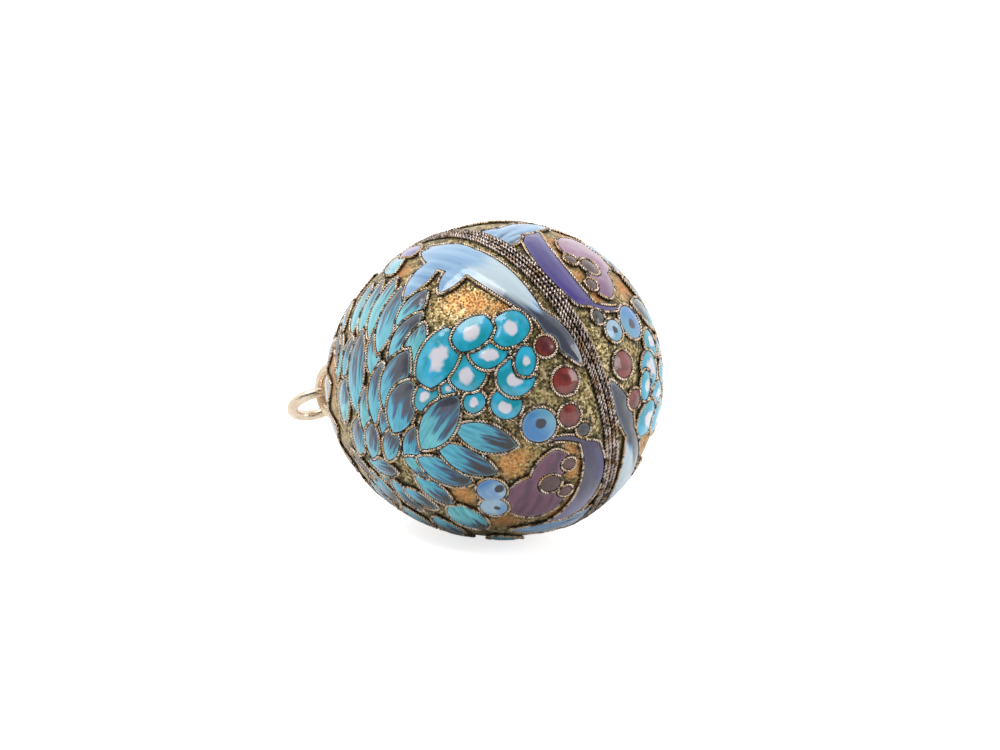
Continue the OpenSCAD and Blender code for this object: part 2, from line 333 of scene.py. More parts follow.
def cut_finely(patch, axes, xs, ys):
    """Cuts a patch by a grid of planes along its own axes, into small triangles."""
    bmesh.ops.transform(patch, matrix=axes.inverted(), verts=patch.verts)
    for plane, (low, high) in ((Vector((1, 0, 0)), xs), (Vector((0, 1, 0)), ys)):
        cuts = int((high - low) / PAD_GRID)
        for k in range(1, cuts + 1):
            at = plane * (low + (high - low) * k / (cuts + 1))
            everything = patch.verts[:] + patch.edges[:] + patch.faces[:]
            bmesh.ops.bisect_plane(patch, geom=everything, dist=SAME, plane_co=at, plane_no=plane)
    bmesh.ops.triangulate(patch, faces=patch.faces)
    bmesh.ops.beautify_fill(patch, faces=patch.faces, edges=patch.edges)
    bmesh.ops.transform(patch, matrix=axes, verts=patch.verts)


def add_attributes(patch, axes, xs, ys, tree, seed):
    """Gives each point its place along the leaf and on the egg, and its way to the wire."""
    leaf = patch.verts.layers.float_vector.new("leaf")
    chart = patch.verts.layers.float_vector.new("chart")
    rim = patch.verts.layers.float.new("rim")
    half_width = (ys[1] - ys[0]) / 2
    inverse = axes.inverted()
    for v in patch.verts:
        q = inverse @ v.co
        s, round_angle, _ = chart_of(v.co)
        angle, half = folded(round_angle)
        v[leaf] = ((q.x - xs[0]) / (xs[1] - xs[0]), (q.y - ys[0]) / half_width - 1, seed)
        v[chart] = (s / MM, math.degrees(angle), half)
        v[rim] = tree.find(v.co)[2] / MM
    return rim


def shaped_pad(patch, points, tip_rule, seed):
    """Turns a flat top patch into a closed, domed pad with its attributes."""
    axes, xs, ys = pad_axes(points, tip_rule)
    cut_finely(patch, axes, xs, ys)
    rim = add_attributes(patch, axes, xs, ys, tree_of(points), seed)
    out = axes.col[2].to_3d()
    bed = patch.verts[:]
    made = bmesh.ops.extrude_face_region(patch, geom=patch.faces[:], use_keep_orig=True)
    for v in made["geom"]:
        if isinstance(v, bmesh.types.BMVert):
            v.co = lifted(v.co, out, PAD_EDGE + PAD_DOME * smooth_step(v[rim] * MM / DOME_RUN))
    for v in bed:
        v.co = lifted(v.co, out, PAD_BED)
    bmesh.ops.recalc_face_normals(patch, faces=patch.faces)
    return patch


def joined(name, parts):
    """One object out of several bmeshes, laid down with the egg."""
    mesh = bpy.data.meshes.new(name)
    whole = bmesh.new()
    for part in parts:
        part.to_mesh(mesh)
        whole.from_mesh(mesh)
        part.free()
    bmesh.ops.transform(whole, matrix=LAY_DOWN, verts=whole.verts)
    whole.to_mesh(mesh)
    whole.free()
    mesh.shade_smooth()
    mesh.set_sharp_from_angle(angle=SHARP_EDGE)
    piece = bpy.data.objects.new(name, mesh)
    bpy.context.scene.collection.objects.link(piece)
    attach(piece, "root")
    print(name, "-", len(mesh.vertices), "vertices,", len(mesh.polygons), "faces")
    return piece


# %% All pads, from the topmost cells to the lowest
NODES_IN_ORDER = {
    "berries": towards_eye,
    "blue_petals": towards_eye,
    "dark_drops": away_from_fan,
    "scale_cells": towards_eye,
    "blue_leaves": towards_eye,
    "mauve_rounds": towards_eye,
    "violet_crescents": towards_eye,
    "turquoise_leaves": away_from_fan,
    "end_leaves": away_from_eye,
}
RIM_STEP = 0.08 * MM
RANDOM_SEED = 7
pads = {}
cell_rims = []
noise.seed_set(RANDOM_SEED)
for node, tip_rule in NODES_IN_ORDER.items():
    parts = []
    for patch in top_patches(node):
        loops = [evenly(loop, RIM_STEP) for loop in rims(patch)]
        points = [p for loop in loops for p in loop]
        cell_rims.append(loops)
        parts.append(shaped_pad(patch, points, tip_rule, noise.random()))
    pads[node] = joined("pads_" + node, parts)
    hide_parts(node)

# %% [markdown]
# ## The cloisons
# Each wire is two fine wires twisted together, so its section has two lobes, and the lobes
# wind along it. A curve with a bevel object makes this: the bevel object is the section, here
# a flat hexagon in place of the two lobes, and the tilt of each point turns it. A wire runs
# round each cell at an even distance from the enamel. Two cells that touch share one wall, so
# a stretch of wire that would lie on one that is laid already is left out.

# %% Sizes of the twist
WIRE_R = 0.088 * MM
WIRE_MID = 0.12 * MM
WIRE_OFF = 0.12 * MM
PITCH = 0.34 * MM
TWIST_STEP = PITCH / 6
SHARED = 0.13 * MM
SHORTEST_RUN = 4
SEAM_GAP = 0.06 * MM
ROPE_D = 0.24 * MM
ROPE_PITCH = 0.5 * MM
ROPE_STEP = 0.25 * MM
ROPE_RISE = 0.1 * MM
PLATE_R = 1.7 * MM

# The section for a wire of radius 1: half its width, half its thickness, and that at its ends
SECTION_WIDE = 0.92
SECTION_THICK = 0.5
SECTION_END = 0.42

# A wire strays, its twist drifts and its thickness varies, each by a noise of its own scale
WOBBLE = 0.02 * MM
WOBBLE_SCALE = 1.7
DRIFT = 2.5
DRIFT_SCALE = 0.9
THICK_SHARE = 0.16
THICK_SCALE = 2.3


# %% Offset a rim to the middle of its wire
def wire_loop(loop, is_outer):
    """The middle line of the wire round a rim, on the side away from the enamel."""
    middle = sum(loop, Vector()) / len(loop)
    s, v, _ = chart_of(middle)
    out = normal_at(s, v)
    area = sum(out.dot((a - middle).cross(b - middle)) for a, b in zip(loop, loop[1:] + loop[:1]))
    if (area > 0) != is_outer:
        loop = loop[::-1]
    moved = []
    for before, p, after in zip(loop[-1:] + loop[:-1], loop, loop[1:] + loop[:1]):
        here = normal_at(*chart_of(p)[:2])
        side = (after - before).cross(here).normalized()
        moved.append(p + side * WIRE_OFF)
    return [lifted(p, normal_at(*chart_of(p)[:2]), WIRE_MID) for p in evenly(moved, TWIST_STEP)]


def free_runs(points, trees):
    """The stretches of a closed line that lie on no wire yet."""
    free = [all(tree.find(p)[2] > SHARED for tree in trees) for p in points]
    if all(free):
        return [points + points[:1]]
    start = free.index(False)
    turned = points[start:] + points[:start]
    flags = free[start:] + free[:start]
    runs, run = [], []
    for p, is_free in zip(turned, flags):
        if is_free:
            run.append(p)
        elif run:
            runs.append(run + [p])
            run = []
    if run:
        runs.append(run + turned[:1])
    return [r for r in runs if len(r) > SHORTEST_RUN]


# %% The seam's four ropes
def rope_line(off):
    """The middle line of a rope beside the seam, from one side of the eye's plate to the other."""
    clear = END_S - TIP_R * math.asin((PLATE_R + ROPE_D) / TIP_R)
    count = int(clear / TWIST_STEP)
    side = [on_egg(clear * k / count, math.pi / 2, ROPE_RISE) for k in range(count + 1)]
    line = [Vector((off, -p.y, p.z)) for p in reversed(side[1:])]
    return line + [Vector((off, p.y, p.z)) for p in side]


INNER_ROPE = SEAM_GAP / 2 + ROPE_D / 2
OUTER_ROPE = INNER_ROPE + ROPE_STEP
ropes = {
    "a": [rope_line(INNER_ROPE), rope_line(OUTER_ROPE)],
    "b": [rope_line(-INNER_ROPE), rope_line(-OUTER_ROPE)],
}
print("rope points:", [len(line) for line in ropes["a"]])

# %% Lay the cloisons
laid = [(tree_of(line), None, 0) for line in ropes["a"][1:] + ropes["b"][1:]]
runs = {"a": [], "b": []}
for loops in cell_rims:
    loops = sorted(loops, key=len, reverse=True)
    for loop in loops:
        line = wire_loop(loop, loop is loops[0])
        middle = sum(line, Vector()) / len(line)
        reach = max((p - middle).length for p in line)
        near = [t for t, m, r in laid if m is None or (m - middle).length < r + reach + SHARED]
        half = "a" if middle.x > 0 else "b"
        for run in free_runs(line, near):
            runs[half].append(run)
            centre = sum(run, Vector()) / len(run)
            laid.append((tree_of(run), centre, max((p - centre).length for p in run)))
print("runs of wire:", {half: len(r) for half, r in runs.items()})


# %% Sweep twisted wire along lines
def section():
    """The section of a twisted wire, a flat hexagon, as a small closed curve."""
    curve = bpy.data.curves.new("section", "CURVE")
    curve.dimensions = "2D"
    spline = curve.splines.new("POLY")
    side = [(SECTION_WIDE, SECTION_END), (0, SECTION_THICK), (-SECTION_WIDE, SECTION_END)]
    shape = side + [(-x, -y) for x, y in side]
    spline.points.add(len(shape) - 1)
    for point, (x, y) in zip(spline.points, shape):
        point.co = (x, y, 0, 1)
    spline.use_cyclic_u = True
    return bpy.data.objects.new("section", curve)


def twisted(name, lines, radius, pitch):
    """A piece of twisted wire along each line."""
    profile = section()
    curve = bpy.data.curves.new(name, "CURVE")
    curve.dimensions = "3D"
    curve.bevel_mode = "OBJECT"
    curve.bevel_object = profile
    curve.use_fill_caps = True
    for line in lines:
        spline = curve.splines.new("POLY")
        spline.points.add(len(line) - 1)
        way = 0.0
        for i, p in enumerate(line):
            way += (p - line[i - 1]).length if i else 0.0
            shake = noise.noise_vector(p / MM * WOBBLE_SCALE) * WOBBLE
            spline.points[i].co = (*(LAY_DOWN @ (p + shake)), 1)
            turn = 2 * math.pi * way / pitch + DRIFT * noise.noise(p / MM * DRIFT_SCALE)
            spline.points[i].tilt = turn % (2 * math.pi)
            thick = 1 + THICK_SHARE * noise.noise(p / MM * THICK_SCALE)
            spline.points[i].radius = radius * thick
    holder = bpy.data.objects.new(name + "_curve", curve)
    bpy.context.scene.collection.objects.link(holder)
    bpy.context.scene.collection.objects.link(profile)
    swept = holder.evaluated_get(bpy.context.evaluated_depsgraph_get())
    mesh = bpy.data.meshes.new_from_object(swept)
    bpy.data.objects.remove(holder)
    bpy.data.objects.remove(profile)
    mesh.shade_smooth()
    piece = bpy.data.objects.new(name, mesh)
    bpy.context.scene.collection.objects.link(piece)
    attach(piece, "root")
    print(name, "-", len(mesh.vertices), "vertices,", len(mesh.polygons), "faces")
    return piece


cloisons = {}
for half in "ab":
    cloisons[half] = twisted("cloisons_" + half, runs[half], WIRE_R, PITCH)
seam_ropes = {}
for half in "ab":
    seam_ropes[half] = twisted("seam_ropes_" + half, ropes[half], ROPE_D / 2, ROPE_PITCH)

# %% [markdown]
# ## The gilt ground
# Half of the meridian, spun half way round the axis, is the outside of one shell, and solidify
# gives it the wall. Each point of the ground also learns how far the next wire is: soot,
# tarnish and painted shade darken the corners beside the wires, so the finish needs that distance.

# %% Spin the shells
GROUND_STEP = 0.16 * MM
wire_points = [p for half in "ab" for run in runs[half] + ropes[half] for p in run]
wire_tree = tree_of(wire_points)
print("wire points:", len(wire_points))

# Middle of each warm patch, s in mm and v in degrees, and its reach both ways
WARM_PLACES = [
    (8.2, 57, 2.0, 8), (7.0, -28, 1.2, 9), (10.9, -28, 0.8, 8), (12, 64, 0.9, 5),
    (11.1, -51, 1.0, 6), (14.6, 66, 1.0, 5), (20.6, 33, 1.4, 18), (6.2, 62, 1.2, 5),
    (9.2, -67, 0.9, 5), (7.4, -69, 1.0, 5), (5.6, -63, 1.0, 6), (4.7, -53, 0.6, 8),
]


def warmth(s, v):
    """How orange the gilding is at a place, from 0 to 1."""
    nearest = min(((s - a) / c) ** 2 + ((v - b) / d) ** 2 for a, b, c, d in WARM_PLACES)
    return math.exp(-nearest)


def half_ground(name, turn):
    """One hollow half shell, spun and thickened inwards."""
    bm = bmesh.new()
    count = round(END_S / GROUND_STEP)
    line = [bm.verts.new(on_egg(END_S * k / count, -math.pi / 2)) for k in range(count + 1)]
    edges = [bm.edges.new(pair) for pair in zip(line, line[1:])]
    steps = round(math.pi * EGG_R / GROUND_STEP)
    bmesh.ops.spin(bm, geom=line + edges, axis=(0, 0, 1), cent=(0, 0, 0), angle=math.pi,
                   steps=steps)
    bmesh.ops.remove_doubles(bm, verts=bm.verts, dist=SAME)
    for v in bm.verts:
        v.co.x = max(v.co.x, SEAM_GAP / 2)
    bmesh.ops.rotate(bm, cent=(0, 0, 0), matrix=Matrix.Rotation(turn, 3, "Z"), verts=bm.verts)
    bmesh.ops.recalc_face_normals(bm, faces=bm.faces)
    largest = max(bm.faces, key=lambda f: f.calc_area())
    if largest.normal.dot(bm.faces[0].calc_center_median()) < 0:
        bmesh.ops.reverse_faces(bm, faces=bm.faces)
    chart = bm.verts.layers.float_vector.new("chart")
    wire = bm.verts.layers.float.new("wire")
    warm = bm.verts.layers.float.new("warm")
    for v in bm.verts:
        s, round_angle, _ = chart_of(v.co)
        angle, half = folded(round_angle)
        v[chart] = (s / MM, math.degrees(angle), half)
        v[wire] = wire_tree.find(v.co)[2] / MM
        v[warm] = warmth(s / MM, math.degrees(angle))
    bmesh.ops.solidify(bm, geom=bm.faces[:], thickness=WALL)
    return joined(name, [bm])


grounds = {"a": half_ground("gilt_ground_a", 0.0), "b": half_ground("gilt_ground_b", math.pi)}
for half in "ab":
    for piece in (grounds[half], cloisons[half], seam_ropes[half]):
        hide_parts("half_shell_" + half)

# %% [markdown]
# ## Wiring materials
# Every finish here is a net of shader nodes. A small class adds a node for each call and gives
# back its output, so that a net reads like a formula. Effects that several finishes share are
# made once, as node groups.

# %% A net of nodes
def rgb(r, g, b):
    """A colour as the eye reads it, 0 to 255, as the shader wants it."""
    values = [c / 255 for c in (r, g, b)]
    return tuple(((c + 0.055) / 1.055) ** 2.4 if c > 0.04 else c / 12.92 for c in values) + (1.0,)


class Net:
    """A node tree that grows by calls: each adds one node and returns its output."""

    def __init__(self, tree):
        self.tree = tree

    def add(self, kind, **settings):
        made = self.tree.nodes.new("ShaderNode" + kind)
        for name, value in settings.items():
            setattr(made, name, value)
        return made

    def put(self, socket, value):
        if isinstance(value, bpy.types.NodeSocket):
            self.tree.links.new(value, socket)
        else:
            socket.default_value = value

    def math(self, operation, *values):
        made = self.add("Math", operation=operation)
        for socket, value in zip(made.inputs, values):
            self.put(socket, value)
        return made.outputs[0]

    def times(self, value, *others):
        """The product of all the values."""
        for other in others:
            value = self.math("MULTIPLY", value, other)
        return value

    def shift(self, value, amount):
        """A value from 0 to 1 as a shift to both sides, of the given width in all."""
        return self.times(self.math("SUBTRACT", value, 0.5), amount)

    def length(self, x, y):
        """The length of a way in the plane."""
        squares = [self.math("POWER", value, 2.0) for value in (x, y)]
        return self.math("SQRT", self.math("ADD", *squares))

    def smooth(self, value, low, high, first=0.0, last=1.0):
        """A soft step from the first to the last value, between low and high."""
        made = self.add("MapRange", interpolation_type="SMOOTHSTEP")
        for socket, v in zip(made.inputs, (value, low, high, first, last)):
            self.put(socket, v)
        return made.outputs[0]

    def below(self, value, low, high):
        """1 where the value is under low, and 0 where it is over high."""
        return self.smooth(value, low, high, 1.0, 0.0)

    def mix(self, share, a, b):
        made = self.add("Mix", data_type="RGBA")
        for i, value in ((0, share), (6, a), (7, b)):
            self.put(made.inputs[i], value)
        return made.outputs[2]

    def attribute(self, name):
        return self.add("Attribute", attribute_name=name).outputs["Vector"]

    def number(self, name):
        return self.add("Attribute", attribute_name=name).outputs["Fac"]

    def split(self, vector):
        made = self.add("SeparateXYZ")
        self.put(made.inputs[0], vector)
        return list(made.outputs)

    def join(self, x, y, z):
        made = self.add("CombineXYZ")
        for socket, value in zip(made.inputs, (x, y, z)):
            self.put(socket, value)
        return made.outputs[0]

    def place(self):
        """The place on the object in millimetres."""
        made = self.add("VectorMath", operation="SCALE")
        self.put(made.inputs[0], self.add("TexCoord").outputs["Object"])
        self.put(made.inputs["Scale"], 1 / MM)
        return made.outputs[0]

    def noise(self, vector, scale, detail=2.0):
        made = self.add("TexNoise")
        self.put(made.inputs["Vector"], vector)
        self.put(made.inputs["Scale"], scale)
        self.put(made.inputs["Detail"], detail)
        return made.outputs["Fac"]

    def ramp(self, value, *stops):
        made = self.add("ValToRGB")
        made.color_ramp.interpolation = "EASE"
        for i, (at, colour) in enumerate(stops):
            point = made.color_ramp.elements[i] if i < 2 else made.color_ramp.elements.new(at)
            point.position = at
            point.color = colour
        self.put(made.inputs[0], value)
        return made.outputs[0]

    def bump(self, height, distance, strength=1.0, normal=None):
        made = self.add("Bump")
        self.put(made.inputs["Height"], height)
        self.put(made.inputs["Distance"], distance)
        self.put(made.inputs["Strength"], strength)
        if normal:
            self.put(made.inputs["Normal"], normal)
        return made.outputs[0]

    def group(self, tree, *values):
        made = self.add("Group", node_tree=tree)
        for socket, value in zip(made.inputs, values):
            self.put(socket, value)
        return list(made.outputs)


KINDS = {"value": "NodeSocketFloat", "vector": "NodeSocketVector"}


def shared_group(name, takes, gives):
    """An empty node group with its sockets, ready to be wired."""
    tree = bpy.data.node_groups.new(name, "ShaderNodeTree")
    for label, kind in takes.items():
        tree.interface.new_socket(label, in_out="INPUT", socket_type=KINDS[kind])
    for label, kind in gives.items():
        tree.interface.new_socket(label, in_out="OUTPUT", socket_type=KINDS[kind])
    net = Net(tree)
    start = tree.nodes.new("NodeGroupInput")
    end = tree.nodes.new("NodeGroupOutput")
    return net, list(start.outputs[:-1]), list(end.inputs[:-1])


def finish_material(name, net_of):
    """A material whose net is wired by a function."""
    material = bpy.data.materials.new(name)
    material.use_nodes = True
    net = Net(material.node_tree)
    shader = material.node_tree.nodes["Principled BSDF"]
    net_of(net, shader)
    return material


# %% [markdown]
# ## Enamel
# Shaded enamel is laid in wet, dark at one end of a cell and light at the other, and brushed
# together, so the colours meet in feathered streaks that run along the leaf. The streaks are
# noise that is stretched along the leaf. Beside the wire the layer is thin and shows the bright
# metal below it, which makes the thin pale rim.

# %% Shared effects for enamel
net, (leaf, crowd), (streaks,) = shared_group(
    "Brushed streaks", {"Leaf": "vector", "Crowd": "value"}, {"Streaks": "value"})
x, y, seed = net.split(leaf)
stretched = net.join(net.times(x, 1.6), net.times(y, crowd), net.times(seed, 37.0))
net.put(streaks, net.smooth(net.noise(stretched, 1.0, 3.0), 0.25, 0.75))
BRUSHED = net.tree

net, (gap, width), (pale, line) = shared_group(
    "Wire rim", {"Gap": "value", "Width": "value"}, {"Pale": "value", "Line": "value"})
uneven = net.times(net.noise(net.place(), 3.0), 1.6)
net.put(pale, net.below(gap, 0.0, net.times(width, uneven)))
# The line right at the wire is painted shade, with some oxide, in the crevice between enamel and
# wire.
net.put(line, net.below(gap, 0.0, 0.035))
WIRE_RIM = net.tree

net, (leaf, size), (spot,) = shared_group(
    "Ragged spot", {"Leaf": "vector", "Size": "value"}, {"Spot": "value"})
x, y, _ = net.split(leaf)
far = net.length(net.shift(x, 2.0), y)
ragged = net.math("ADD", far, net.shift(net.noise(net.place(), 1.8, 1.0), 0.6))
inside = net.math("SUBTRACT", size, 0.1)
outside = net.math("ADD", size, 0.1)
net.put(spot, net.below(ragged, inside, outside))
RAGGED_SPOT = net.tree

net, (chart, s, v, scale, size), (dot,) = shared_group(
    "Painted dot",
    {"Chart": "vector", "S": "value", "V": "value", "Millimetres a degree": "value",
     "Size": "value"},
    {"Dot": "value"})
here_s, here_v, _ = net.split(chart)
along = net.math("SUBTRACT", here_s, s)
across = net.times(net.math("SUBTRACT", here_v, v), scale)
far = net.length(along, across)
shaken = net.math("ADD", far, net.shift(net.noise(net.place(), 2.5), 0.2))
inside = net.math("SUBTRACT", size, 0.05)
outside = net.math("ADD", size, 0.05)
net.put(dot, net.below(shaken, inside, outside))
PAINTED_DOT = net.tree

net, (), (normal, roughness) = shared_group(
    "Fired surface", {}, {"Normal": "vector", "Roughness": "value"})
place = net.place()
waves = net.bump(net.noise(place, 1.3, 1.0), 0.03 * MM)
pits = net.smooth(net.noise(place, 9.0, 2.0), 0.68, 0.74)
net.put(normal, net.bump(pits, -0.01 * MM, 0.6, waves))
net.put(roughness, net.smooth(net.noise(place, 4.0), 0.3, 0.8, 0.12, 0.26))
FIRED = net.tree
print("groups:", [g.name for g in bpy.data.node_groups])


# %% The enamel finish
# The crevice colour is painted shade with oxide, laid along the very edge of each pad.
CREVICE_SHADE = rgb(48, 40, 36)
CREVICE_SHADE_SHARE = 0.75
RIM_WIDTH = 0.16


def enamel(name, colour_of, rim_colour, rim_share):
    """Glossy enamel: its colour, the rim along the wires, painted shade with oxide in the crevice
    at the wire, and the fired surface.
    """
    def wire_up(net, shader):
        colour = colour_of(net)
        pale, line = net.group(WIRE_RIM, net.number("rim"), RIM_WIDTH)
        colour = net.mix(net.times(pale, rim_share), colour, rim_colour)
        colour = net.mix(net.times(line, CREVICE_SHADE_SHARE), colour, CREVICE_SHADE)
        normal, roughness = net.group(FIRED)
        net.put(shader.inputs["Base Color"], colour)
        net.put(shader.inputs["Roughness"], roughness)
        net.put(shader.inputs["Normal"], normal)
        shader.inputs["Coat Weight"].default_value = 0.45
        shader.inputs["Sheen Weight"].default_value = 0.12
        shader.inputs["Sheen Roughness"].default_value = 0.35
        shader.inputs["Coat Roughness"].default_value = 0.05
    return finish_material(name, wire_up)


# %% Turquoise leaves that end in slate
def leaf_colour(net):
    leaf = net.attribute("leaf")
    x, _, seed = net.split(leaf)
    streaks, = net.group(BRUSHED, leaf, 3.6)
    fresh = net.smooth(seed, 0.2, 0.9)
    body = net.mix(streaks, net.mix(fresh, rgb(26, 134, 166), rgb(42, 142, 158)),
                   net.mix(fresh, rgb(76, 192, 218), rgb(108, 202, 206)))
    way = net.math("ADD", x, net.shift(streaks, 0.6))
    start = net.math("ADD", net.times(seed, 0.34), 0.43)
    deep = net.smooth(way, net.math("SUBTRACT", start, 0.2), start)
    dark = net.smooth(way, start, net.math("ADD", start, 0.14))
    _, v, _ = net.split(net.attribute("chart"))
    # Painted sheen: towards larger v the leaves get a paler body and deep blue, and slate tips in
    # place of near-black ones.
    pale = net.times(net.smooth(v, 8.0, 40.0), 0.45)
    body = net.mix(pale, body, rgb(128, 198, 206))
    deep_blue = net.mix(pale, rgb(26, 84, 122), rgb(96, 150, 172))
    tip = net.mix(net.smooth(v, -12.0, 14.0), rgb(17, 18, 23), rgb(60, 62, 74))
    return net.mix(dark, net.mix(deep, body, deep_blue), tip)


turquoise = enamel("turquoise_leaf_enamel", leaf_colour, rgb(140, 190, 200), 0.4)


# %% Scale cells with white centres
def scale_colour(net):
    leaf = net.attribute("leaf")
    _, _, seed = net.split(leaf)
    spot, = net.group(RAGGED_SPOT, leaf, net.math("ADD", net.times(seed, 0.08), 0.38))
    tone = net.noise(net.place(), 1.1)
    body = net.mix(net.smooth(tone, 0.35, 0.65), rgb(22, 148, 168), rgb(52, 172, 208))
    return net.mix(spot, body, rgb(212, 210, 218))


scales = enamel("scale_cell_enamel", scale_colour, rgb(60, 130, 140), 0.4)


# %% Petals with painted dots, and the drops
# Middle of each dot, s in mm and v in degrees, and its radius in mm
PETAL_DOTS = [(4.35, -18, 0.3), (2.9, -33, 0.2), (8.75, -34, 0.27), (9.94, -41.4, 0.16)]


def petal_colour(net):
    chart = net.attribute("chart")
    s, v, _ = net.split(chart)
    dots = None
    for dot_s, dot_v, size in PETAL_DOTS:
        scale = math.radians(EGG_R / MM * math.sin(dot_s / (EGG_R / MM)))
        dot, = net.group(PAINTED_DOT, chart, dot_s, dot_v, scale, size)
        dots = net.math("MAXIMUM", dots, dot) if dots else dot
    tone = net.smooth(net.noise(net.place(), 1.0, 2.0), 0.35, 0.65)
    pale = net.mix(tone, rgb(112, 152, 196), rgb(156, 186, 204))
    strong = net.mix(net.smooth(s, 3.7, 4.9), rgb(104, 162, 190), rgb(56, 124, 184))
    body = net.mix(net.smooth(v, -33.0, -28.0), pale, strong)
    return net.mix(dots, body, rgb(36, 38, 52))


def drop_colour(net):
    streaks, = net.group(BRUSHED, net.attribute("leaf"), 2.0)
    return net.mix(streaks, rgb(38, 42, 46), rgb(66, 70, 72))


petals = enamel("petal_enamel", petal_colour, rgb(160, 180, 196), 0.4)
drops = enamel("slate_drop_enamel", drop_colour, rgb(120, 125, 125), 0.3)


# %% Red berries, brown ones in the mauve rounds
def berry_colour(net):
    _, v, _ = net.split(net.attribute("chart"))
    tone = net.noise(net.place(), 1.6)
    red = net.mix(net.smooth(tone, 0.35, 0.65), rgb(88, 40, 42), rgb(134, 54, 48))
    brown = net.mix(net.smooth(tone, 0.3, 0.7), rgb(70, 46, 46), rgb(98, 68, 66))
    return net.mix(net.below(v, -46.0, -44.0), red, brown)


berries = enamel("berry_enamel", berry_colour, rgb(110, 60, 50), 0.4)


# %% Mauve rounds and violet crescents
def mauve_colour(net):
    streaks, = net.group(BRUSHED, net.attribute("leaf"), 2.2)
    s, _, half = net.split(net.attribute("chart"))
    body = net.mix(net.smooth(streaks, 0.2, 0.8), rgb(74, 38, 62), rgb(106, 60, 84))
    far_half = net.mix(net.smooth(s, 4.0, 8.5), rgb(112, 74, 112), rgb(158, 122, 146))
    return net.mix(half, body, far_half)


# The way along the egg, in mm, over which the crescent's row of colours is spread
VIOLET_REACH = 18.0


def violet_colour(net):
    s, v, half = net.split(net.attribute("chart"))
    streaks, = net.group(BRUSHED, net.attribute("leaf"), 2.0)
    shaken = net.math("ADD", s, net.shift(streaks, 0.8))
    way = net.math("DIVIDE", shaken, VIOLET_REACH)
    near = net.ramp(way, (0.2, rgb(44, 34, 74)), (0.27, rgb(62, 56, 88)), (0.37, rgb(80, 80, 98)),
                    (0.5, rgb(124, 120, 150)), (0.85, rgb(104, 92, 150)))
    outer = net.below(v, -82.0, -74.0)
    high = net.below(way, 0.32, 0.4)
    near = net.mix(net.times(outer, high, 0.8), near, rgb(38, 32, 98))
    far_half = net.mix(streaks, rgb(50, 37, 110), rgb(72, 57, 132))
    return net.mix(half, near, far_half)


mauve = enamel("mauve_enamel", mauve_colour, rgb(160, 130, 150), 0.35)
violet = enamel("violet_enamel", violet_colour, rgb(110, 105, 140), 0.3)


# %% The long light-blue leaf
def blue_leaf_colour(net):
    chart = net.attribute("chart")
    s, v, _ = net.split(chart)
    streaks, = net.group(BRUSHED, net.attribute("leaf"), 4.0)
    shaken = net.math("ADD", s, net.shift(streaks, 1.6))
    body = net.mix(streaks, rgb(96, 142, 186), rgb(150, 186, 214))
    middle = net.times(net.smooth(shaken, 4.8, 6.0), net.below(shaken, 8.6, 10.0))
    body = net.mix(net.times(middle, 0.85), body, rgb(190, 206, 212))
    edge = net.math("ADD", v, net.shift(streaks, 5.0))
    low_edge = net.times(net.below(edge, 68.5, 72.0), net.below(shaken, 7.4, 9.0))
    tail = net.below(shaken, 4.6, 5.4)
    slate = net.times(net.math("MAXIMUM", low_edge, tail), net.smooth(v, -5.0, 5.0))
    root = net.times(net.below(shaken, 9.4, 10.2), net.below(v, -5.0, 5.0))
    spot, = net.group(PAINTED_DOT, chart, 11.6, -65.2, 0.16, 0.2)
    dark = net.math("MAXIMUM", net.math("MAXIMUM", slate, root), spot)
    return net.mix(dark, body, rgb(66, 70, 84))


blue_leaf = enamel("light_blue_enamel", blue_leaf_colour, rgb(170, 190, 206), 0.4)

for node, material, slot in (
    ("turquoise_leaves", turquoise, "turquoise_enamel"),
    ("end_leaves", turquoise, "turquoise_enamel"),
    ("scale_cells", scales, "turquoise_enamel"),
    ("blue_petals", petals, "light_blue_enamel"),
    ("blue_leaves", blue_leaf, "light_blue_enamel"),
    ("dark_drops", drops, "slate_enamel"),
    ("berries", berries, "maroon_enamel"),
    ("mauve_rounds", mauve, "mauve_enamel"),
    ("violet_crescents", violet, "violet_enamel"),
):
    pads[node].data.materials.append(material)

# %% [markdown]
# ## Gilt metal
# The ground between the leaves is stippled with a punch so that it glitters, and it is gilt.
# Its colour holds painted glints and painted dark reflections in the stipple. Dirt, tarnish
# and painted shade darken the corners beside the wires, and the gilding is warmer, nearly
# orange, in the patches that the chart of warm places gives. The wires are rubbed bright on
# their crests, and their grooves between the two strands hold painted shade with oxide.

# %% Shared effects for metal
# Soot and tarnish beside the wires, together with painted shade where the wires keep out light.
net, (gap, reach), (soot_and_shade,) = shared_group(
    "Tarnish and shade", {"Gap": "value", "Reach": "value"}, {"Soot and shade": "value"})
uneven = net.smooth(net.noise(net.place(), 2.6, 3.0), 0.25, 0.75, 0.35, 1.5)
net.put(soot_and_shade, net.below(gap, 0.1, net.times(reach, uneven)))
TARNISH_AND_SHADE = net.tree

# The stipple's colour holds painted highlights (glints) and painted dark reflections, one to a
# random cell of the punch marks.
net, (size,), (normal, dark_reflection, glint) = shared_group(
    "Stipple", {"Size": "value"}, {"Normal": "vector", "Dark reflection": "value", "Glint": "value"})
place = net.place()
cells = net.add("TexVoronoi")
net.put(cells.inputs["Vector"], place)
net.put(cells.inputs["Scale"], size)
grain = net.smooth(cells.outputs["Distance"], 0.0, 0.6)
rough = net.bump(net.noise(place, 3.0, 2.0), 0.08 * MM)
net.put(normal, net.bump(grain, -0.05 * MM, 0.9, rough))
chance, _, _ = net.split(cells.outputs["Color"])
net.put(dark_reflection, net.below(chance, 0.3, 0.45))
net.put(glint, net.smooth(chance, 0.66, 0.85))
STIPPLE = net.tree


